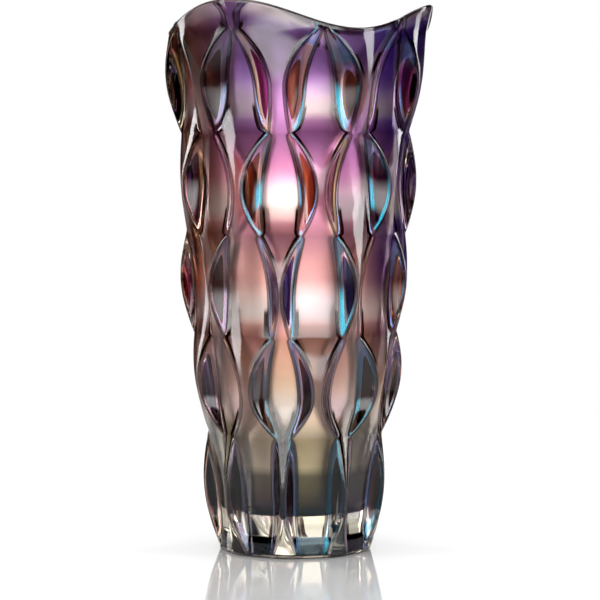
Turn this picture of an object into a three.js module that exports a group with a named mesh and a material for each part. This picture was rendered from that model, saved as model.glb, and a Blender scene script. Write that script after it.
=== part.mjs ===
// A tall art glass vase in three gathers of hot glass: a solid foot, a wall pressed with deep
// staggered relief, and a wavy fire-polished lip. On the real vase the three are fused.
//
// Millimetres and degrees, +Z up. The origin is at the middle of the underside.
// Angles are measured from the front (-Y) towards the right (+X).
//
// The relief is a ring of upright columns. Each column swells into a wide, sunken belly in one
// row and shrinks to a narrow, raised neck in the next, and neighbouring columns do the opposite.
// A slanting leaf-shaped facet joins each neck to the bellies on both sides of it.

import * as THREE from 'three';

// ---- Driving dimensions ----

const footRowHeight = 65.5;
const rowHeight = 54.4;
const fullRows = 4;
const rimBandHeight = 15.4;

// The rim rises to a peak at each of these angles, in order, and dips halfway between them.
const rimPeakAngles = [-28, 84, 208];
const rimWaveHeight = 15;
const rimPeakFlare = 4;

// Radius of the wall at each joint between two rows, from the table up, then at the rim.
const jointRadii = [41.5, 48.4, 56.2, 60.6, 63, 69.6, 71];

const columnCount = 18;
const firstColumnAngle = -8;

// One entry for each row, from the foot up. The half width of the necks and the width of the
// leaf facets are shares of a column's pitch. crest is how far the necks stand out from the
// wall, and hollow is how deep the bellies sink into it.
const rows = [
  { neck: 0.09, facet: 0.33, crest: 5.8, hollow: 2.4 },
  { neck: 0.15, facet: 0.34, crest: 5.6, hollow: 3.6 },
  { neck: 0.06, facet: 0.29, crest: 4.5, hollow: 3.8 },
  { neck: 0.12, facet: 0.38, crest: 4.8, hollow: 4.2 },
  { neck: 0.16, facet: 0.46, crest: 5.0, hollow: 4.0 },
  { neck: 0.12, facet: 0.06, crest: 0.8, hollow: 0.8 },
];

// Half width of the even columns at each joint and at the rim, as a share of the pitch.
// The odd columns take the rest.
const jointShares = [0.52, 0.22, 0.26, 0.54, 0.27, 0.88, 0.5];

const neckCentre = 0.42;       // where a neck is narrowest, as a share of its row's height
const narrowestShare = 0.02;   // no column gets narrower than this share of the pitch
const narrowestFacet = 0.02;   // width of a facet at its two ends, as a share of the pitch
const facetPointedness = 0.5;  // lower values give the leaf facets blunter ends

const fullWall = 8.6;
const rimWall = 4.6;
const lipHeight = 4.5;
const floorThickness = 22;
const floorCorner = 7;
const footBevel = 2.2;
const fusedGap = 0.3;

// Mesh steps.
const stepsPerRow = 8;
const innerSteps = 10;
const cornerSteps = 4;
const lipRoundSteps = 4;
const settlePasses = 8;

// ---- Derived sizes ----

const radian = Math.PI / 180;
const columnPitch = 360 / columnCount;
const jointHeights = [0];
for (let row = 0; row < fullRows + 1; row += 1) {
  jointHeights.push(footRowHeight + row * rowHeight);
}
const topJoint = jointHeights[jointHeights.length - 1];
const height = topJoint + rimBandHeight;
jointHeights.push(height);
const wallBottom = floorThickness + floorCorner + fusedGap;
const wallTop = height - lipHeight - fusedGap;
const waveStart = jointHeights[jointHeights.length - 3];

// ---- The shape of the wall ----

// The row at a height, and how far up that row it is, from 0 to 1.
function findRow(z) {
  let index = 0;
  while (index < rows.length - 1 && z > jointHeights[index + 1]) {
    index += 1;
  }
  const bottom = jointHeights[index];
  const top = jointHeights[index + 1];
  return { index, part: THREE.MathUtils.clamp((z - bottom) / (top - bottom), 0, 1) };
}

// Radius of the wall without its relief: a smooth curve through the joint radii.
function wallRadius(z) {
  const { index, part } = findRow(z);
  const last = jointRadii.length - 1;
  const slopeAt = (joint) => {
    const low = Math.max(joint - 1, 0);
    const high = Math.min(joint + 1, last);
    return (jointRadii[high] - jointRadii[low]) / (jointHeights[high] - jointHeights[low]);
  };
  const span = jointHeights[index + 1] - jointHeights[index];
  const rest = 1 - part;
  const ends = jointRadii[index] * rest * rest * (1 + 2 * part)
    + jointRadii[index + 1] * part * part * (1 + 2 * rest);
  const slopes = slopeAt(index) * part * rest * rest - slopeAt(index + 1) * part * part * rest;
  return ends + slopes * span;
}

// Thickness of the wall under its relief. It thins to the rim over the upper half of the top row.
function wallThickness(z) {
  const thinning = THREE.MathUtils.smoothstep(z, topJoint - rowHeight / 2, height);
  return THREE.MathUtils.lerp(fullWall, rimWall, thinning);
}

function cavityRadius(z) {
  return wallRadius(z) - wallThickness(z);
}

// How far the rim lies below its peaks at an angle.
function rimDrop(angle) {
  const first = rimPeakAngles[0];
  const turned = first + THREE.MathUtils.euclideanModulo(angle - first, 360);
  const ends = [...rimPeakAngles, first + 360];
  const next = ends.findIndex((peak) => peak > turned);
  const part = (turned - ends[next - 1]) / (ends[next] - ends[next - 1]);
  return rimWaveHeight * (1 - Math.cos(2 * Math.PI * part)) / 2;
}

// How far the wall leans out near a peak of the rim, on top of its own radius.

function rimLean(angle, z) {
  const rise = THREE.MathUtils.smoothstep(z, topJoint - rimBandHeight, height);
  return rimPeakFlare * rise * (1 - rimDrop(angle) / rimWaveHeight) ** 2;
}

// A level line on the wall bends down with the rim as it nears the top.
function bentHeight(z, angle) {
  return z - rimDrop(angle) * THREE.MathUtils.smoothstep(z, waveStart, wallTop);
}

// Half width and radius of one column at a height.
function columnSection(column, z) {
  const { index, part } = findRow(z);
  const row = rows[index];
  const evenIsNeck = index % 2 === 0;
  const isNeck = (column % 2 === 0) === evenIsNeck;
  const neckShareAt = (joint) => {
    const share = evenIsNeck ? jointShares[joint] : 1 - jointShares[joint];
    return share - narrowestFacet / 2;
  };
  const bump = Math.sin(Math.PI * part);
  const reach = part < neckCentre
    ? (neckCentre - part) / neckCentre
    : (part - neckCentre) / (1 - neckCentre);
  const endShare = neckShareAt(part < neckCentre ? index : index + 1);
  const neckShare = row.neck + (endShare - row.neck) * reach ** 2;
  const widestFacet = 1 - neckShare - narrowestShare;
  const openFacet = narrowestFacet + (row.facet - narrowestFacet) * bump ** facetPointedness;
  const facetShare = Math.min(openFacet, widestFacet);
  const share = isNeck ? neckShare : 1 - neckShare - facetShare;
  const offset = isNeck ? row.crest * bump : -row.hollow * bump;
  return { halfWidth: share * columnPitch, radius: wallRadius(z) + offset };
}

// ---- Rings of points and the solids made from them ----

function pointAt(angle, radius, z) {
  const turn = angle * radian;
  return [radius * Math.sin(turn), -radius * Math.cos(turn), z];
}

// Three points on each column: its left edge, its middle and its right edge.
function aroundColumns(makePoint) {
  const ring = [];
  for (let column = 0; column < columnCount; column += 1) {
    for (const side of [-1, 0, 1]) {
      ring.push(makePoint(column, side));
    }
  }
  return ring;
}

// The edge of a column moves with the height, and the height of a bent level with the angle, so
// the two are settled in a few passes.
function settleEdge(column, side, level) {
  const middle = firstColumnAngle + column * columnPitch;
  let angle = middle;
  let section = null;
  for (let pass = 0; pass < settlePasses; pass += 1) {
    section = columnSection(column, bentHeight(level, angle));
    angle = middle + side * section.halfWidth;
  }
  return { angle, radius: section.radius, z: bentHeight(level, angle) };
}

function reliefRing(level, lean = rimLean) {
  return aroundColumns((column, side) => {
    const edge = settleEdge(column, side, level);
    return pointAt(edge.angle, edge.radius + lean(edge.angle, level), edge.z);
  });
}

// A ring without relief, whose points stand at the angles that the relief has at a level.
function plainRing(level, radiusAt, heightAt) {
  return aroundColumns((column, side) => {
    const { angle } = settleEdge(column, side, level);
    return pointAt(angle, radiusAt(angle), heightAt(angle));
  });
}

function flatRing(level, radius, z) {
  return plainRing(level, () => radius, () => z);
}

// Joins rings, in order, into one closed body. A ring of one point is a pole. Without poles the
// last ring joins the first again.
function solidFromRings(rings) {
  const positions = rings.flat(2);
  const starts = [];
  let count = 0;
  for (const ring of rings) {
    starts.push(count);
    count += ring.length;
  }
  const triangles = [];
  const closed = rings[0].length > 1;
  const bands = closed ? rings.length : rings.length - 1;
  for (let band = 0; band < bands; band += 1) {
    const next = (band + 1) % rings.length;
    const size = Math.max(rings[band].length, rings[next].length);
    for (let i = 0; i < size; i += 1) {
      const j = (i + 1) % size;
      const low = starts[band] + (rings[band].length > 1 ? i : 0);
      const lowNext = starts[band] + (rings[band].length > 1 ? j : 0);
      const high = starts[next] + (rings[next].length > 1 ? i : 0);
      const highNext = starts[next] + (rings[next].length > 1 ? j : 0);
      if (low !== lowNext) {
        triangles.push(low, lowNext, highNext);
      }
      if (high !== highNext) {
        triangles.push(low, highNext, high);
      }
    }
  }
  const geometry = new THREE.BufferGeometry();
  geometry.setAttribute('position', new THREE.Float32BufferAttribute(positions, 3));
  geometry.setIndex(triangles);
  geometry.computeVertexNormals();
  return geometry;
}

// Heights from one level to another, with the same number of steps in every full row.
function levelsBetween(low, high) {
  const levels = [low];
  for (let row = 0; row < rows.length; row += 1) {
    const span = jointHeights[row + 1] - jointHeights[row];
    const steps = Math.max(2, Math.round(stepsPerRow * span / rowHeight));
    for (let step = 0; step < steps; step += 1) {
      const z = jointHeights[row] + span * step / steps;
      const clearance = span / steps / 3;
      if (z > low + clearance && z < high - clearance) {
        levels.push(z);
      }
    }
  }
  levels.push(high);
  return levels;
}

// ---- The three pieces ----

function makeFoot() {
  const top = floorThickness + floorCorner;
  const cavity = cavityRadius(top);
  const noLean = () => 0;
  const rings = [[[0, 0, 0]]];
  rings.push(flatRing(footBevel, jointRadii[0] - footBevel, 0));
  for (const level of levelsBetween(footBevel, top)) {
    rings.push(reliefRing(level, noLean));
  }
  for (let step = 0; step <= cornerSteps; step += 1) {
    const turn = Math.PI / 2 * step / cornerSteps;
    const radius = cavity - floorCorner * (1 - Math.cos(turn));
    rings.push(flatRing(top, radius, top - floorCorner * Math.sin(turn)));
  }
  rings.push([[0, 0, floorThickness]]);
  return solidFromRings(rings);
}

function makeWall() {
  const rings = levelsBetween(wallBottom, wallTop).map((level) => reliefRing(level));
  for (let step = 0; step <= innerSteps; step += 1) {
    const level = THREE.MathUtils.lerp(wallTop, wallBottom, step / innerSteps);
    rings.push(plainRing(
      level,
      (angle) => cavityRadius(bentHeight(level, angle)) + rimLean(angle, level),
      (angle) => bentHeight(level, angle),
    ));
  }
  return solidFromRings(rings);
}

// The lip is a bead with a rounded top that follows the wave of the rim.
function makeLip() {
  const seat = wallTop + fusedGap;
  const halfWall = rimWall / 2;
  const crown = Math.min(halfWall, lipHeight / 2);
  const beadRing = (offset, level) => plainRing(
    wallTop,
    (angle) => wallRadius(level) - halfWall + offset + rimLean(angle, level),
    (angle) => level - rimDrop(angle),
  );
  const rings = [beadRing(halfWall, seat)];
  for (let step = 0; step <= 2 * lipRoundSteps; step += 1) {
    const turn = Math.PI / 2 * step / lipRoundSteps;
    rings.push(beadRing(halfWall * Math.cos(turn), height - crown + crown * Math.sin(turn)));
  }
  rings.push(beadRing(-halfWall, seat));
  return solidFromRings(rings);
}

function makeMesh(name, geometry, color) {
  const material = new THREE.MeshStandardMaterial({ color, roughness: 0.04, metalness: 0.1 });
  const mesh = new THREE.Mesh(geometry, material);
  mesh.name = name;
  return mesh;
}

const vase = new THREE.Group();
vase.add(makeMesh('foot_block', makeFoot(), 0x6f6a58));
vase.add(makeMesh('relief_wall', makeWall(), 0xb889a6));
vase.add(makeMesh('lip', makeLip(), 0x9a7cc0));

export default vase;
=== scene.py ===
"""A tall art glass vase: a solid foot, a wall with deep staggered relief and a wavy lip.

The three pieces are cut from one skin of fine points, so the fused glass runs on from piece to
piece. Metres and degrees, +Z up. Angles are measured from the front (-Y) towards the right (+X).
"""

import math

import bpy
import numpy as np
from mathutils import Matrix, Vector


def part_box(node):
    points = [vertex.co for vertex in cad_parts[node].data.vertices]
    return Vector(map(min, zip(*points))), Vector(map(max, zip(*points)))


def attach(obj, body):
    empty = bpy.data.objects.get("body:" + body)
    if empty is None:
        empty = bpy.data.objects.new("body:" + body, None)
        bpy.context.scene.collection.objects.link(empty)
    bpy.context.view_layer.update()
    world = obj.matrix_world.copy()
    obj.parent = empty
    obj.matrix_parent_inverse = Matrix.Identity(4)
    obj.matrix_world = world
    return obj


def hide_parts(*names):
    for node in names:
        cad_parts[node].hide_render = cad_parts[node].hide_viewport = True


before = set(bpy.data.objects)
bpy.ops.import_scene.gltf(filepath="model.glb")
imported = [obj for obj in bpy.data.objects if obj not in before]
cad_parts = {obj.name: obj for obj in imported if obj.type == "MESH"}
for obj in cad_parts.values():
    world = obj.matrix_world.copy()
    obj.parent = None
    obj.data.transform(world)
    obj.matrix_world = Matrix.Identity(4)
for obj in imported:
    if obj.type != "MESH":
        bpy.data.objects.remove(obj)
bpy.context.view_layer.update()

MM = 0.001

# ---- Sizes taken from the frame ----

FOOT_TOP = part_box("foot_block")[1].z
WALL_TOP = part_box("relief_wall")[1].z
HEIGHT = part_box("lip")[1].z

# ---- The relief, as the maker presses it ----

# Rows of columns are stacked on each other and meet at joints. In every row, columns that narrow
# to a neck alternate with columns that swell to a belly, and a leaf facet lies between the two.
FOOT_ROW = 65.5 * MM
ROW = 54.4 * MM
JOINT_HEIGHTS = np.array([0, *(FOOT_ROW + row * ROW for row in range(5)), HEIGHT])
JOINT_RADII = np.array([41.5, 48.4, 56.2, 60.6, 63, 69.6, 71]) * MM
JOINT_SHARES = np.array([0.52, 0.22, 0.26, 0.54, 0.27, 0.88, 0.5])
NECK_SHARES = np.array([0.09, 0.15, 0.06, 0.12, 0.16, 0.12])
FACET_SHARES = np.array([0.33, 0.34, 0.29, 0.38, 0.46, 0.06])
CRESTS = np.array([5.8, 5.6, 4.5, 4.8, 5.0, 0.8]) * MM
HOLLOWS = np.array([2.4, 3.6, 3.8, 4.2, 4.0, 0.8]) * MM

COLUMNS = 18
PITCH = 360 / COLUMNS
FIRST_COLUMN = -8              # angle of the middle of a column
NECK_CENTRE = 0.42             # where a neck is narrowest, as a share of its row's height
NARROWEST_SHARE = 0.02         # no column gets narrower than this share of the pitch
NARROWEST_FACET = 0.02         # width of a facet at its two ends, as a share of the pitch
FACET_POINTEDNESS = 0.5        # lower values give the leaf facets blunter ends

RIM_PEAKS = np.array([-28, 84, 208])
RIM_WAVE = 15 * MM
RIM_FLARE = 4 * MM
FULL_WALL = 8.6 * MM
RIM_WALL = 4.6 * MM
FLOOR = 22 * MM
FLOOR_CORNER = 7 * MM
BEVEL = 2.2 * MM

EDGE_SOFTNESS = 0.5 * MM       # half the width of the rounding along a facet's edge
STRIP_ROUNDING = 0.35          # the most that the rounding takes of half a column
FACET_ROUNDING = 0.3           # and of a facet
BELLY_SCOOP = 0.4 * MM         # how much deeper a belly is along its middle
NECK_CROWN = 0.5 * MM          # how much higher a neck is along its middle
FACET_SCOOP = 1.3 * MM         # how hollow a leaf facet is
DEEP_FACET = 0.3               # from this share of the pitch on, a facet has its full hollow
TINTED_FACET = 0.1             # and from this share on, its full tint
FOOT_HOLLOW = 0.35             # extra hollow of the foot's bellies, as a share
LEDGE_LOW, LEDGE_HIGH = 8 * MM, 12 * MM     # where the extra hollow begins
NECK_FORK = 0.66, 0.80         # how far up its row the painted dark reflection along a neck's edge comes in
BELLY_FORK = 0.24, 0.30        # and how far up its row the painted dark reflection along a belly's edge goes out
SETTLE_PASSES = 8              # rounds of fitting the outline to the bent rim


def smoothstep(x, low, high):
    part = np.clip((x - low) / (high - low), 0, 1)
    return part * part * (3 - 2 * part)


def find_row(z):
    """The row at a height, and how far up that row it is."""
    index = np.clip(np.searchsorted(JOINT_HEIGHTS, z) - 1, 0, len(NECK_SHARES) - 1)
    low, high = JOINT_HEIGHTS[index], JOINT_HEIGHTS[index + 1]
    return index, np.clip((z - low) / (high - low), 0, 1)


def wall_radius(z):
    """Radius of the wall without its relief."""
    index, part = find_row(z)
    slopes = np.empty(len(JOINT_RADII))
    for joint in range(len(JOINT_RADII)):
        low, high = max(joint - 1, 0), min(joint + 1, len(JOINT_RADII) - 1)
        rise = JOINT_HEIGHTS[high] - JOINT_HEIGHTS[low]
        slopes[joint] = (JOINT_RADII[high] - JOINT_RADII[low]) / rise
    span = JOINT_HEIGHTS[index + 1] - JOINT_HEIGHTS[index]
    rest = 1 - part
    ends = JOINT_RADII[index] * rest**2 * (1 + 2 * part)
    ends = ends + JOINT_RADII[index + 1] * part**2 * (1 + 2 * rest)
    bend = slopes[index] * part * rest**2 - slopes[index + 1] * part**2 * rest
    return ends + bend * span


def cavity_radius(z):
    thinning = smoothstep(z, JOINT_HEIGHTS[5] - ROW / 2, HEIGHT)
    return wall_radius(z) - FULL_WALL - (RIM_WALL - FULL_WALL) * thinning


def rim_drop(angle):
    """How far the wavy rim lies below its peaks."""
    ends = np.append(RIM_PEAKS, RIM_PEAKS[0] + 360)
    turned = RIM_PEAKS[0] + np.mod(angle - RIM_PEAKS[0], 360)
    after = np.clip(np.searchsorted(ends, turned, side="right"), 1, len(RIM_PEAKS))
    part = (turned - ends[after - 1]) / (ends[after] - ends[after - 1])
    return RIM_WAVE * (1 - np.cos(2 * np.pi * part)) / 2


def rim_lean(angle, level):
    """How far the wall leans out towards the peaks of the rim."""
    rise = smoothstep(level, 2 * JOINT_HEIGHTS[5] - HEIGHT, HEIGHT)
    return RIM_FLARE * rise * (1 - rim_drop(angle) / RIM_WAVE) ** 2


def bent_height(level, angle):
    """True height of a level, once the top of the wall is bent to the wave."""
    return level - rim_drop(angle) * smoothstep(level, JOINT_HEIGHTS[4], WALL_TOP)


def section(column, z):
    """Half width, middle radius, edge radius and swell of columns, and which ones are necks."""
    index, part = find_row(z)
    even_neck = index % 2 == 0
    is_neck = (column % 2 == 0) == even_neck
    bump = np.sin(np.pi * part)
    lower = part < NECK_CENTRE
    below, above = (NECK_CENTRE - part) / NECK_CENTRE, (part - NECK_CENTRE) / (1 - NECK_CENTRE)
    reach = np.where(lower, below, above)
    end = JOINT_SHARES[np.where(lower, index, index + 1)]
    end = np.where(even_neck, end, 1 - end) - NARROWEST_FACET / 2
    neck = NECK_SHARES[index] + (end - NECK_SHARES[index]) * reach**2
    facet = NARROWEST_FACET + (FACET_SHARES[index] - NARROWEST_FACET) * bump**FACET_POINTEDNESS
    facet = np.minimum(facet, 1 - neck - NARROWEST_SHARE)
    share = np.where(is_neck, neck, 1 - neck - facet)
    in_foot = (index == 0) * smoothstep(z, LEDGE_LOW, LEDGE_HIGH)
    depth = bump + FOOT_HOLLOW * in_foot * (1 - part) ** 2
    middle = wall_radius(z) + np.where(is_neck, CRESTS[index] * bump, -HOLLOWS[index] * depth)
    edge = middle + np.where(is_neck, -NECK_CROWN, BELLY_SCOOP) * bump
    return share * PITCH, middle, edge, bump, is_neck


# Where the points stand across a column's strip and across the facet to its right.
STRIP_SPOTS = np.array([-1, -0.8, -0.55, -0.28, 0, 0.28, 0.55, 0.8, 1])
FACET_SPOTS = np.array([0, 0.17, 0.34, 0.5, 0.66, 0.83, 1])
SPOTS = len(STRIP_SPOTS) + len(FACET_SPOTS)
AROUND = COLUMNS * SPOTS
COLUMN_OF = np.repeat(np.arange(COLUMNS), SPOTS)
SPOT_OF = np.tile(np.arange(SPOTS), COLUMNS)
CHANCES = np.random.default_rng(7).random((COLUMNS, len(NECK_SHARES)))


def relief_ring(level):
    """Angles, radii, heights and marks of one ring of the relief."""
    on_strip = SPOT_OF < len(STRIP_SPOTS)
    spots = np.append(STRIP_SPOTS, FACET_SPOTS)[SPOT_OF]
    across = np.where(on_strip, spots, 0)
    along = np.where(on_strip, 0, spots)
    middle = FIRST_COLUMN + COLUMN_OF * PITCH
    angle = middle + PITCH * np.where(on_strip, across / 3, 1 / 3 + along / 3)
    for _ in range(SETTLE_PASSES):
        z = bent_height(level, angle)
        width, radius, edge, bump, is_neck = section(COLUMN_OF, z)
        next_width, _, next_edge, _, _ = section(COLUMN_OF + 1, z)
        soft = np.degrees(EDGE_SOFTNESS / wall_radius(z))
        strip_half = width - np.minimum(soft, STRIP_ROUNDING * width)
        gap = PITCH - width - next_width
        inset = np.minimum(soft, FACET_ROUNDING * gap)
        share = (inset + (gap - 2 * inset) * along) / gap
        angle = middle + np.where(on_strip, across * strip_half, width + gap * share)
    strip_radius = radius + (edge - radius) * (across * strip_half / width) ** 2
    openness = np.minimum(gap / (DEEP_FACET * PITCH), 1)
    facet_radius = edge + (next_edge - edge) * share
    facet_radius = facet_radius - FACET_SCOOP * openness * bump * 4 * share * (1 - share)
    ring_radius = np.where(on_strip, strip_radius, facet_radius)
    row, rise = find_row(np.array(level))
    margin = (1 - np.abs(across)) * np.radians(strip_half) * radius / MM
    neck_fork = smoothstep(rise, *NECK_FORK)
    belly_fork = smoothstep(-rise, -BELLY_FORK[1], -BELLY_FORK[0])
    marks = {
        "facet": np.where(on_strip, 0, np.minimum(gap / (TINTED_FACET * PITCH), 1)),
        "neckward": np.where(on_strip, is_neck, np.where(is_neck, 1 - share, share)),
        "margin": np.where(on_strip, margin, 0),
        "fork": np.where(is_neck, neck_fork, belly_fork),
        "chance": CHANCES[COLUMN_OF, row],
        "level": np.full(AROUND, level),
    }
    return angle, ring_radius, z, marks


def to_points(angle, radius, z):
    turn = np.radians(angle)
    z = np.broadcast_to(z, angle.shape)
    return np.stack([radius * np.sin(turn), -radius * np.cos(turn), z], axis=1)


# ---- The skin: rings from the middle of the underside, up the outside, over the lip, and
# down the inside to the middle of the floor ----

# What every point of the skin carries for the materials to read.
MARKS = (
    "facet",        # 1 on a leaf facet and 0 on a column
    "neckward",     # 1 on a neck and at a facet's edge with it, 0 on a belly
    "margin",       # distance from the edge of the column in millimetres
    "fork",         # 1 where a column may have a wide painted dark reflection along its edge
    "chance",       # one number for each column of each row
    "level",        # height before the rim is bent
)
STEPS_PER_ROW = 40
INNER_RINGS = 70
BEVEL_STEPS = 6
LIP_STEPS = 12
LIP_SQUARENESS = 0.55          # 1 gives a round lip, and lower values a squarer one
CORNER_STEPS = 8
DISC_SHARES = 0.001, 0.25, 0.5, 0.75, 0.9    # rings of a flat disc, as shares of its radius
RING_CLEARANCE = 0.4 * MM      # the least distance from a seam to the next ring
CROWN = RIM_WALL / 2           # height of the rounded lip
SEAM_LEVELS = {"foot": FOOT_TOP, "lip": WALL_TOP}


class Skin:
    """The rings in order, with the marks of their points and the rings where pieces part."""

    def __init__(self):
        self.rings = []
        self.marks = []
        self.seams = {}

    def add(self, points, level, marks=None):
        self.rings.append(points)
        plain = {name: np.zeros(AROUND) for name in MARKS}
        plain["level"] = np.full(AROUND, level)
        self.marks.append(marks or plain)

    def end_at(self, name):
        """Notes that a seam runs along the ring just added."""
        self.seams[name] = len(self.rings) - 1


def outside_levels():
    """Heights of the rings up the outside, with one at each seam and none close beside it."""
    levels, free = [], []
    for row in range(len(NECK_SHARES)):
        low, high = JOINT_HEIGHTS[row], JOINT_HEIGHTS[row + 1]
        steps = round(STEPS_PER_ROW * (high - low) / ROW)
        levels += [low + (high - low) * step / steps for step in range(steps)]
    fixed = [BEVEL, *SEAM_LEVELS.values(), HEIGHT - CROWN]
    for level in levels:
        clear = all(abs(level - stop) > RING_CLEARANCE for stop in fixed)
        if clear and BEVEL < level < HEIGHT - CROWN:
            free.append(level)
    return sorted(free + fixed)


def add_underside(skin):
    angle, radius, _, _ = relief_ring(BEVEL)
    for share in DISC_SHARES:
        skin.add(to_points(angle, share * (radius - BEVEL), 0), 0)
    for step in range(BEVEL_STEPS):
        turn = math.pi / 2 * step / BEVEL_STEPS
        rounded = radius - BEVEL * (1 - math.sin(turn))
        skin.add(to_points(angle, rounded, BEVEL * (1 - math.cos(turn))), 0)


def add_outside(skin):
    for level in outside_levels():
        angle, radius, z, marks = relief_ring(level)
        skin.add(to_points(angle, radius + rim_lean(angle, level), z), level, marks)
        for name, seam in SEAM_LEVELS.items():
            if level == seam:
                skin.end_at(name + "_outside")


def add_lip(skin):
    """Rounds the lip. The relief fades out on the way over it."""
    top = HEIGHT - CROWN
    angle, radius, _, _ = relief_ring(top)
    relief = radius - wall_radius(np.array(top))
    for step in range(1, LIP_STEPS):
        turn = math.pi * step / LIP_STEPS
        reach = math.copysign(abs(math.cos(turn)) ** LIP_SQUARENESS, math.cos(turn))
        level = top + CROWN * math.sin(turn) ** LIP_SQUARENESS
        centre = wall_radius(np.array(level)) - CROWN + rim_lean(angle, level)
        rounded = centre + CROWN * reach + relief * (1 + reach) / 2
        skin.add(to_points(angle, rounded, level - rim_drop(angle)), level)


def add_inside(skin):
    for level in [HEIGHT - CROWN, *np.linspace(WALL_TOP, FOOT_TOP, INNER_RINGS)]:
        angle, _, z, marks = relief_ring(level)
        skin.add(to_points(angle, cavity_radius(z) + rim_lean(angle, level), z), level, marks)
        for name, seam in SEAM_LEVELS.items():
            if level == seam:
                skin.end_at(name + "_inside")
    cavity = cavity_radius(np.array(FOOT_TOP))
    for step in range(1, CORNER_STEPS + 1):
        turn = math.pi / 2 * step / CORNER_STEPS
        radius = cavity - FLOOR_CORNER * (1 - math.cos(turn))
        level = FOOT_TOP - FLOOR_CORNER * math.sin(turn)
        skin.add(to_points(angle, np.full(AROUND, radius), level), level)
    for share in reversed(DISC_SHARES):
        radius = share * (cavity - FLOOR_CORNER)
        skin.add(to_points(angle, np.full(AROUND, radius), FLOOR), FLOOR)


def make_skin():
    skin = Skin()
    add_underside(skin)
    add_outside(skin)
    add_lip(skin)
    add_inside(skin)
    return skin


def skin_normals(points):
    """Smooth normals over the whole skin, so that the pieces cut from it shade as one."""
    ahead = np.roll(points, -1, axis=1)
    up = np.diff(points, axis=0)
    across = ahead - points
    face = np.cross(across[:-1] + across[1:], up + np.roll(up, -1, axis=1))
    total = np.zeros_like(points)
    total[:-1] += face
    total[1:] += face
    total = total + np.roll(total, 1, axis=1)
    return total / np.maximum(np.linalg.norm(total, axis=2, keepdims=True), 1e-12)


OUTSIDE, INSIDE, CUT = range(3)     # places of the materials on a piece


def cut_piece(name, skin, spans, caps, materials):
    """Makes one piece from spans of rings. caps are pairs of rings joined by hidden faces."""
    points = np.array(skin.rings)
    normals = skin_normals(points)
    used = sorted({ring for low, high in spans for ring in range(low, high + 1)})
    place = {ring: row for row, ring in enumerate(used)}
    here = np.arange(AROUND)
    ahead = np.roll(here, -1)
    faces, kinds, corner_normals = [], [], []

    def add_band(low, high, kind):
        a, b = place[low] * AROUND, place[high] * AROUND
        faces.extend(np.stack([a + here, a + ahead, b + ahead, b + here], axis=1).tolist())
        kinds.extend([kind] * AROUND)
        if kind == CUT:
            first, second, third = points[low][here], points[low][ahead], points[high][ahead]
            flat = np.cross(second - first, third - first)
            flat = flat / np.linalg.norm(flat, axis=1, keepdims=True)
            at = [flat] * 4
        else:
            lower, upper = normals[low], normals[high]
            at = [lower[here], lower[ahead], upper[ahead], upper[here]]
        corner_normals.extend(np.stack(at, axis=1).reshape(-1, 3).tolist())

    def add_disc(ring, kind, order, up):
        faces.append((place[ring] * AROUND + here[::order]).tolist())
        kinds.append(kind)
        corner_normals.extend([(0, 0, up)] * AROUND)

    lip_middle = (skin.seams["lip_outside"] + skin.seams["lip_inside"]) // 2
    for low, high in spans:
        for ring in range(low, high):
            add_band(ring, ring + 1, OUTSIDE if ring < lip_middle else INSIDE)
    for low, high in caps:
        add_band(low, high, CUT)
    last = len(skin.rings) - 1
    if 0 in place:
        add_disc(0, OUTSIDE, -1, -1)
    if last in place:
        add_disc(last, INSIDE, 1, 1)

    mesh = bpy.data.meshes.new(name)
    mesh.from_pydata(points[used].reshape(-1, 3).tolist(), [], faces)
    for material in materials:
        mesh.materials.append(material)
    mesh.polygons.foreach_set("material_index", kinds)
    mesh.polygons.foreach_set("use_smooth", [kind != CUT for kind in kinds])
    mesh.update()
    mesh.normals_split_custom_set(corner_normals)
    for label in MARKS:
        values = np.array([skin.marks[ring][label] for ring in used])
        layer = mesh.attributes.new(label, "FLOAT", "POINT")
        layer.data.foreach_set("value", values.ravel().astype(np.float32))
    piece = bpy.data.objects.new(name, mesh)
    bpy.context.scene.collection.objects.link(piece)
    return piece


# ---- Shader maths ----


class Value:
    """A shader socket that takes part in Python expressions."""

    def __init__(self, maker, socket):
        self.maker = maker
        self.socket = socket

    def math(self, operation, *others):
        return self.maker.math(operation, self, *others)

    def __add__(self, other):
        return self.math("ADD", other)

    def __sub__(self, other):
        return self.math("SUBTRACT", other)

    def __mul__(self, other):
        return self.math("MULTIPLY", other)

    def __truediv__(self, other):
        return self.math("DIVIDE", other)

    def __pow__(self, other):
        return self.math("POWER", other)

    def __rsub__(self, other):
        return self.maker.math("SUBTRACT", other, self)

    __radd__ = __add__
    __rmul__ = __mul__


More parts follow.
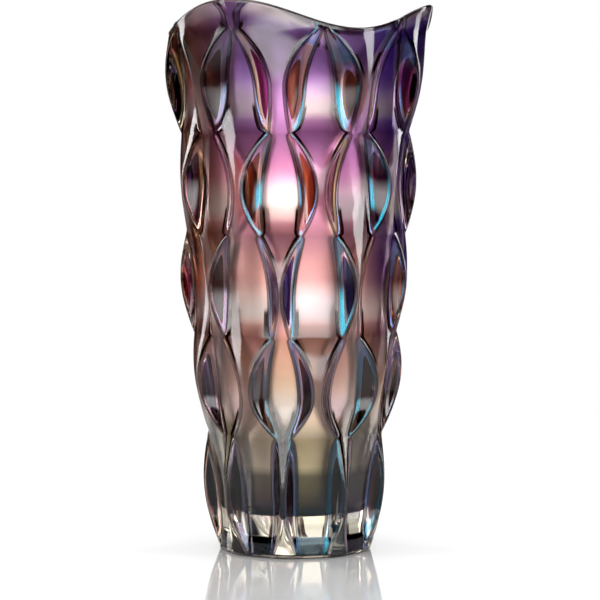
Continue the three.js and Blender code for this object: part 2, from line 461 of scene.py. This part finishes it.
class Maker:
    """Builds the nodes of one material or world."""

    def __init__(self, material):
        material.use_nodes = True
        self.tree = material.node_tree
        self.tree.nodes.clear()

    def node(self, kind, settings=None, sockets=(), output=0):
        """Adds a node: its settings, then its sockets' values or links. Returns one output."""
        made = self.tree.nodes.new(kind)
        for name, value in (settings or {}).items():
            if name == "stops":
                self.set_stops(made.color_ramp, value)
            elif name == "points":
                self.set_points(made.mapping, value)
            else:
                setattr(made, name, value)
        pairs = sockets.items() if isinstance(sockets, dict) else enumerate(sockets)
        for key, value in pairs:
            target = made.inputs[key]
            if isinstance(value, Value):
                self.tree.links.new(value.socket, target)
            else:
                target.default_value = value
        if made.outputs:
            return Value(self, made.outputs[output])

    def set_stops(self, ramp, stops):
        while len(ramp.elements) < len(stops):
            ramp.elements.new(0.5)
        for element, (place, colour) in zip(ramp.elements, stops):
            element.position = place
            element.color = (*colour, 1)

    def set_points(self, mapping, points):
        curve = mapping.curves[0].points
        while len(curve) < len(points):
            curve.new(0.5, 0.5)
        for point, place in zip(curve, points):
            point.location = place
        mapping.update()

    def math(self, operation, *values):
        return self.node("ShaderNodeMath", {"operation": operation}, values)

    def mark(self, name):
        """A value that the mesh carries."""
        return self.node("ShaderNodeAttribute", {"attribute_name": name}, output=2)

    def place(self):
        """The place of a point on the object, in metres."""
        return self.node("ShaderNodeTexCoord", output=3)

    def parts(self, vector):
        """The x, y and z of a vector."""
        return [self.node("ShaderNodeSeparateXYZ", None, [vector], axis) for axis in range(3)]

    def height(self):
        """Height above the table in metres."""
        return self.parts(self.place())[2]

    def ramp(self, value, stops):
        return self.node("ShaderNodeValToRGB", {"stops": stops}, [value])

    def ramp_up(self, value, low, high):
        """0 before low and 1 after high, with a smooth climb between. low may be the higher."""
        settings = {"interpolation_type": "SMOOTHSTEP"}
        if low > high:
            return 1 - self.ramp_up(value, high, low)
        return self.node("ShaderNodeMapRange", settings, {0: value, 1: low, 2: high})

    def mix(self, factor, first, second, blend="MIX"):
        settings = {"data_type": "RGBA", "blend_type": blend, "clamp_factor": True}
        return self.node("ShaderNodeMix", settings, {0: factor, 6: first, 7: second}, 2)


def new_material(name):
    material = bpy.data.materials.new(name)
    return material, Maker(material)


# ---- Glass ----

WHITE = (1, 1, 1, 1)
# Amber and indigo are a painted sheen of the lustre at the vase's far left and far right.
AMBER_PAINTED_SHEEN = (0.80, 0.24, 0.03, 1)
INDIGO_PAINTED_SHEEN = (0.20, 0.03, 0.86, 1)
PLUM = (0.30, 0.12, 0.16, 1)
PALE_GOLD = (0.99, 0.96, 0.86, 1)
# Painted dark reflection of a leaf facet's eye, darker towards the bottom.
LOW_EYE_PAINTED_REFLECTION = (0.04, 0.035, 0.03, 1)
# Painted dark reflections along the edges of the leaf facets and of the columns.
LEAF_RIM_PAINTED_REFLECTION = (0.02, 0.015, 0.015, 1)
DARK_EDGE_PAINTED_REFLECTION = (0.05, 0.022, 0.015, 1)
# A painted highlight: the pale pearl that the film is painted low in every row.
PEARL_PAINTED_HIGHLIGHT = (1.0, 0.93, 0.88, 1)
LEAF_BACK = (0.62, 0.58, 0.58, 1)


WARM_TINTS = [                 # the film from the foot to the lip, on the left
    (0.0, (0.015, 0.015, 0.010)),
    (0.09, (0.02, 0.02, 0.012)),
    (0.150, (0.11, 0.11, 0.06)),
    (0.168, (0.52, 0.52, 0.36)),
    (0.23, (0.44, 0.42, 0.26)),
    (0.31, (0.78, 0.52, 0.40)),
    (0.40, (0.80, 0.36, 0.36)),
    (0.55, (0.78, 0.42, 0.44)),
    (0.70, (0.74, 0.32, 0.42)),
    (0.85, (0.66, 0.27, 0.46)),
    (1.0, (0.72, 0.24, 0.06)),
]
COOL_TINTS = [                 # and on the right
    (0.0, (0.015, 0.015, 0.012)),
    (0.09, (0.02, 0.02, 0.015)),
    (0.150, (0.12, 0.12, 0.07)),
    (0.168, (0.55, 0.53, 0.36)),
    (0.23, (0.52, 0.46, 0.28)),
    (0.31, (0.90, 0.60, 0.38)),
    (0.40, (0.92, 0.42, 0.30)),
    (0.54, (0.90, 0.40, 0.36)),
    (0.70, (0.82, 0.28, 0.62)),
    (0.86, (0.58, 0.30, 0.92)),
    (1.0, (0.40, 0.16, 0.72)),
]
EYE_PAINTED_REFLECTION_TINTS = [                  # the painted dark reflection that forms the eye of a leaf facet, from one facet to another
    (0.0, (0.06, 0.05, 0.05)),
    (0.2, (0.62, 0.16, 0.03)),
    (0.4, (0.14, 0.13, 0.06)),
    (0.6, (0.34, 0.04, 0.16)),
    (0.8, (0.04, 0.05, 0.30)),
    (1.0, (0.30, 0.15, 0.06)),
]
LEAF_TINTS = [                 # the rest of a leaf facet
    (0.0, (0.60, 0.74, 0.92)),
    (0.2, (0.90, 0.52, 0.56)),
    (0.4, (0.78, 0.77, 0.46)),
    (0.6, (0.98, 0.86, 0.62)),
    (0.8, (0.44, 0.80, 0.98)),
    (1.0, (0.84, 0.52, 0.82)),
]
BELLY_TINTS = [
    (0.0, (1.0, 0.80, 0.60)),
    (0.35, (1.0, 0.72, 0.76)),
    (0.7, (0.86, 0.72, 0.95)),
    (1.0, (0.97, 0.90, 0.66)),
]
ROW_PAINTED_LIGHT = [                   # painted light and shade: how light the film is painted from the bottom of a row to its top
    (0.0, 0.36),
    (0.10, 0.62),
    (0.22, 1.0),
    (0.30, 1.0),
    (0.62, 0.60),
    (1.0, 0.36),
]


COATINGS = 250.0, 300.0        # thickness of the lustre in nanometres, warm and cool
GLASS_IOR = 1.52
EYE_RISE, EYE_HALF_RISE = 0.47, 0.35        # place and size of a leaf facet's painted dark eye along its row
EYE_SIDE, EYE_HALF_SIDE = 0.62, 0.31        # and across the facet
RIPPLE_SCALE, RIPPLE_DEPTH = 55.0, 0.35 * MM


def ripple(maker):
    """The faint waves that blown glass keeps."""
    waves = maker.node("ShaderNodeTexNoise", None, {
        "Vector": maker.place(), "Scale": RIPPLE_SCALE, "Detail": 1.0,
    })
    return maker.node("ShaderNodeBump", None, {
        "Height": waves, "Strength": 1.0, "Distance": RIPPLE_DEPTH,
    })


def coolness(maker):
    """0 where the colours are warm and 1 where they are cool. It changes across the vase."""
    x, _, z = maker.parts(maker.place())
    return maker.ramp_up(x + z * 0.05, -0.055, -0.005)


def tint_by_height(maker):
    """The tint of the glass, from the foot to the lip and from warm to cool across it, with a
    painted sheen of amber at the far left and of indigo at the far right.
    """
    across, _, z = maker.parts(maker.place())
    up = z / HEIGHT
    upper = maker.ramp_up(up, 0.27, 0.55)
    # Painted sheen of the lustre: amber at the far left and indigo at the far right, in the upper
    # part.
    left_painted_sheen = maker.ramp_up(across, -26 * MM, -50 * MM) * upper
    right = maker.ramp_up(across, 30 * MM, 54 * MM) * upper
    warm = maker.mix(left_painted_sheen, maker.ramp(up, WARM_TINTS), AMBER_PAINTED_SHEEN)
    cool = maker.mix(right, maker.ramp(up, COOL_TINTS), INDIGO_PAINTED_SHEEN)
    return maker.mix(coolness(maker), warm, cool)


def row_rise(maker):
    """0 at the bottom of every row and 1 at its top."""
    return maker.math("FRACT", (maker.mark("level") - FOOT_ROW + ROW) / ROW)


def outer_colour(maker, eye_painted_reflection, from_eye, low):
    """Bellies and leaf facets with their tints, and painted dark reflections for the dark eyes
    and the dark edges.
    """
    facet, neckward, chance = maker.mark("facet"), maker.mark("neckward"), maker.mark("chance")
    margin, height = maker.mark("margin"), maker.height()
    foot = maker.ramp_up(height, 0.05, 0.02)
    belly = maker.mix(0.6 - foot * 0.6, maker.ramp(chance, BELLY_TINTS), WHITE)
    light = maker.mix(facet, belly, maker.ramp(chance, LEAF_TINTS))
    # A painted highlight: the tint is cleared to white in a ring around each eye.
    light = maker.mix(maker.ramp_up(from_eye, 1.55, 1.15) * facet, light, WHITE)
    base = maker.ramp_up(height, 0.028, 0.016)
    light = maker.mix(base, light, PALE_GOLD)
    light = maker.mix(low * facet * (1 - base), light, PLUM)
    # The eye is a painted dark reflection, darker towards the bottom.
    eye_painted_reflection_colour = maker.mix(low, maker.ramp(chance, EYE_PAINTED_REFLECTION_TINTS), LOW_EYE_PAINTED_REFLECTION)
    colour = maker.mix(eye_painted_reflection * 0.97, light, eye_painted_reflection_colour)
    # Painted dark reflections: a thin line along the edges of a leaf facet, wide forks on some
    # columns and a thin line beside every column's edge.
    leaf_rim_painted_reflection = maker.ramp_up(neckward * (1 - neckward), 0.15, 0.08) * facet
    colour = maker.mix(leaf_rim_painted_reflection * 0.85, colour, LEAF_RIM_PAINTED_REFLECTION)
    wide = 1.3 + 1.3 * chance
    fork = maker.ramp_up(margin / wide, 1.1, 0.9) * maker.ramp_up(margin, 0.15, 0.5)
    colour = maker.mix(fork * maker.mark("fork") * (1 - facet), colour, DARK_EDGE_PAINTED_REFLECTION)
    outline = maker.ramp_up(margin, 0.9, 0.5) * 0.75
    colour = maker.mix(outline * (1 - facet), colour, DARK_EDGE_PAINTED_REFLECTION)
    # Glass takes the root of its colour at every crossing, so the colour goes in squared.
    return maker.mix(1.0, colour, colour, "MULTIPLY")


def make_outer_glass():
    """Clear glass, with a thin lustre that shows on the leaf facets around their eyes."""
    material, maker = new_material("relief_glass")
    facet, height = maker.mark("facet"), maker.height()
    reach = (row_rise(maker) - EYE_RISE) / EYE_HALF_RISE
    side = (maker.mark("neckward") - EYE_SIDE) / EYE_HALF_SIDE
    from_eye = reach * reach + side * side
    # Mask of the painted dark reflection that forms a leaf facet's eye.
    eye_painted_reflection = maker.ramp_up(from_eye, 1.0, 0.9) * facet
    low = maker.ramp_up(height, 0.13, 0.08) * 0.7
    glass = {
        "Base Color": outer_colour(maker, eye_painted_reflection, from_eye, low), "Roughness": 0.0,
        "IOR": GLASS_IOR, "Transmission Weight": 1.0, "Normal": ripple(maker),
    }
    warm, cool = (
        maker.node("ShaderNodeBsdfPrincipled", None, {
            **glass, "Thin Film Thickness": thickness, "Thin Film IOR": 2.0,
        })
        for thickness in COATINGS
    )
    lustre = maker.node("ShaderNodeMixShader", None, [coolness(maker), warm, cool])
    plain = maker.node("ShaderNodeBsdfPrincipled", None, {**glass, "Specular IOR Level": 0.15})
    foot = maker.ramp_up(height, 0.05, 0.02)
    bare = (1 - 0.85 * facet) + eye_painted_reflection * 0.85 + low * facet * 0.6 - foot * 0.1
    shader = maker.node("ShaderNodeMixShader", None, [bare, lustre, plain])
    maker.node("ShaderNodeOutputMaterial", None, [shader])
    return material


def make_inner_film():
    """The satin film on the cavity, with painted light and shade: a painted highlight of pale
    pearl low in every row, and painted shade that deepens its tint above.
    """
    material, maker = new_material("film_glass")
    tint, rise, height = tint_by_height(maker), row_rise(maker), maker.height()
    # Painted light and shade: bellies are painted lightest low in their row and necks in their
    # middle, and the lightest places get a painted highlight of pale pearl.
    belly_painted_light = maker.node("ShaderNodeFloatCurve", {"points": ROW_PAINTED_LIGHT}, {1: rise})
    neck_painted_light = 0.36 + 1.2 * rise * (1 - rise)
    glow = belly_painted_light + (neck_painted_light - belly_painted_light) * maker.mark("neckward")
    painted_highlight = glow**4 * 0.88 * maker.ramp_up(height, 0.045, 0.085)
    colour = maker.mix(painted_highlight, maker.mix(1.0, tint, glow, "MULTIPLY"), PEARL_PAINTED_HIGHLIGHT)
    behind_leaf = maker.mark("facet") * 0.5 * maker.ramp_up(height, 0.05, 0.15)
    colour = maker.mix(behind_leaf, colour, LEAF_BACK)
    clear = maker.node("ShaderNodeBsdfPrincipled", None, {
        "Base Color": tint, "Roughness": 0.1, "IOR": GLASS_IOR, "Transmission Weight": 1.0,
    })
    film = maker.node("ShaderNodeBsdfPrincipled", None, {
        "Base Color": colour, "Roughness": 0.32, "Metallic": 1.0,
    })
    shader = maker.node("ShaderNodeMixShader", None, [0.9, clear, film])
    maker.node("ShaderNodeOutputMaterial", None, [shader])
    return material


def make_fused_joint():
    """Nothing shows where the glass runs on from one piece to the next."""
    material, maker = new_material("fused_joint")
    shader = maker.node("ShaderNodeBsdfTransparent", None, {"Color": WHITE})
    maker.node("ShaderNodeOutputMaterial", None, [shader])
    return material


# ---- The three pieces ----


def make_vase():
    skin = make_skin()
    materials = [make_outer_glass(), make_inner_film(), make_fused_joint()]
    first, last = 0, len(skin.rings) - 1
    foot_out, foot_in = skin.seams["foot_outside"], skin.seams["foot_inside"]
    lip_out, lip_in = skin.seams["lip_outside"], skin.seams["lip_inside"]
    plans = [
        ("foot_glass", "foot_block", [(first, foot_out), (foot_in, last)], [(foot_out, foot_in)]),
        ("wall_glass", "relief_wall", [(foot_out, lip_out), (lip_in, foot_in)],
         [(lip_out, lip_in), (foot_in, foot_out)]),
        ("lip_glass", "lip", [(lip_out, lip_in)], [(lip_in, lip_out)]),
    ]
    for name, node, spans, caps in plans:
        piece = cut_piece(name, skin, spans, caps, materials)
        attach(piece, "root")
        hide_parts(node)


# ---- Floor, light and camera ----


FLOOR_REACH = 0.6              # radius of the floor
FLOOR_STEPS = 96
FLOOR_RINGS = 0.2, 0.5, 0.8, 1.0


def make_floor():
    """A pale round floor whose edge fades away into the white behind it."""
    points = [(0, 0, 0)]
    for ring in FLOOR_RINGS:
        for step in range(FLOOR_STEPS):
            turn = 2 * math.pi * step / FLOOR_STEPS
            reach = FLOOR_REACH * ring
            points.append((reach * math.cos(turn), reach * math.sin(turn), 0))
    faces = [(0, 1 + step, 1 + (step + 1) % FLOOR_STEPS) for step in range(FLOOR_STEPS)]
    for ring in range(len(FLOOR_RINGS) - 1):
        low, high = 1 + ring * FLOOR_STEPS, 1 + (ring + 1) * FLOOR_STEPS
        for step in range(FLOOR_STEPS):
            ahead = (step + 1) % FLOOR_STEPS
            faces.append((low + step, high + step, high + ahead, low + ahead))
    mesh = bpy.data.meshes.new("floor")
    mesh.from_pydata(points, [], faces)
    material, maker = new_material("floor_white")
    away = maker.node("ShaderNodeVectorMath", {"operation": "LENGTH"}, [maker.place()], 1)
    shader = maker.node("ShaderNodeBsdfPrincipled", None, {
        "Base Color": (0.6, 0.6, 0.6, 1), "Roughness": 0.08, "IOR": 1.45,
        "Alpha": maker.ramp_up(away, FLOOR_REACH, FLOOR_REACH * 0.3),
    })
    maker.node("ShaderNodeOutputMaterial", None, [shader])
    mesh.materials.append(material)
    floor = bpy.data.objects.new("floor", mesh)
    bpy.context.scene.collection.objects.link(floor)


class Window:
    """A soft bright panel of the studio, placed by direction in degrees.

    softness is the width of the fading edge at its sides, below it and above it.
    """

    def __init__(self, azimuth, half_width, low, high, strength, softness):
        self.azimuth, self.half_width = azimuth, half_width
        self.low, self.high, self.strength = low, high, strength
        self.side_soft, self.low_soft, self.high_soft = softness


WINDOWS = [
    Window(180, 14, -12, 30, 1.5, (6, 10, 8)),        # behind
    Window(0, 34, -3, 7, 5.4, (12, 16, 6)),           # in front
    Window(-70, 4, 10, 50, 9.0, (2, 26, 6)),          # strips to the sides
    Window(70, 4, 10, 50, 9.0, (2, 26, 6)),
    Window(-128, 3, 10, 50, 6.0, (2, 26, 6)),         # strips behind on the sides
    Window(128, 3, 10, 50, 6.0, (2, 26, 6)),
    Window(0, 180, 68, 90, 5.4, (6, 6, 6)),           # overhead
]


def make_light():
    """Soft panels all round with darker gaps, and plain white behind the vase."""
    world = bpy.data.worlds.new("studio")
    bpy.context.scene.world = world
    maker = Maker(world)
    place = maker.node("ShaderNodeTexCoord", output=0)
    x, y, z = maker.parts(place)
    elevation = maker.math("ARCSINE", z) * (180 / math.pi)
    total = (0, 0, 0, 1)
    for window in WINDOWS:
        turn = math.radians(window.azimuth)
        side = x * math.cos(turn) + y * math.sin(turn)
        ahead = x * math.sin(turn) - y * math.cos(turn)
        away = maker.math("ABSOLUTE", maker.math("ARCTAN2", side, ahead)) * (180 / math.pi)
        inside = maker.ramp_up(away, window.half_width + window.side_soft, window.half_width)
        inside = inside * maker.ramp_up(elevation, window.low - window.low_soft, window.low)
        if window.high < 90:
            end = window.high + window.high_soft
            inside = inside * maker.ramp_up(elevation, end, window.high)
        total = maker.mix(inside, total, (window.strength,) * 3 + (1,))
    seen = maker.node("ShaderNodeLightPath", output=0)
    glow = maker.node("ShaderNodeBackground", None, [total])
    plain = maker.node("ShaderNodeBackground", None, [WHITE])
    shader = maker.node("ShaderNodeMixShader", None, [seen, glow, plain])
    maker.node("ShaderNodeOutputWorld", None, [shader])


CAMERA_DISTANCE = 1.35
CAMERA_HEIGHT = 0.222
AIM_HEIGHT = 0.137
SENSOR_WIDTH = 36
LENS = 147.3
SIDE_SHIFT = 4.3 / 600         # share of the picture's width by which it is moved sideways


def make_camera():
    data = bpy.data.cameras.new("camera")
    camera = bpy.data.objects.new("camera", data)
    bpy.context.scene.collection.objects.link(camera)
    camera.location = (0, -CAMERA_DISTANCE, CAMERA_HEIGHT)
    tilt = math.atan2(CAMERA_HEIGHT - AIM_HEIGHT, CAMERA_DISTANCE)
    camera.rotation_euler = (math.pi / 2 - tilt, 0, 0)
    data.sensor_width = SENSOR_WIDTH
    data.lens = LENS
    data.shift_x = SIDE_SHIFT
    data.clip_start, data.clip_end = 0.05, 50
    bpy.context.scene.camera = camera


LIGHT_BOUNCES = 24             # enough to pass through both walls of thick glass

make_camera()
make_vase()
make_floor()
make_light()
scene = bpy.context.scene
scene.view_settings.view_transform = "Standard"
scene.cycles.max_bounces = LIGHT_BOUNCES
scene.cycles.transmission_bounces = LIGHT_BOUNCES
scene.cycles.transparent_max_bounces = LIGHT_BOUNCES
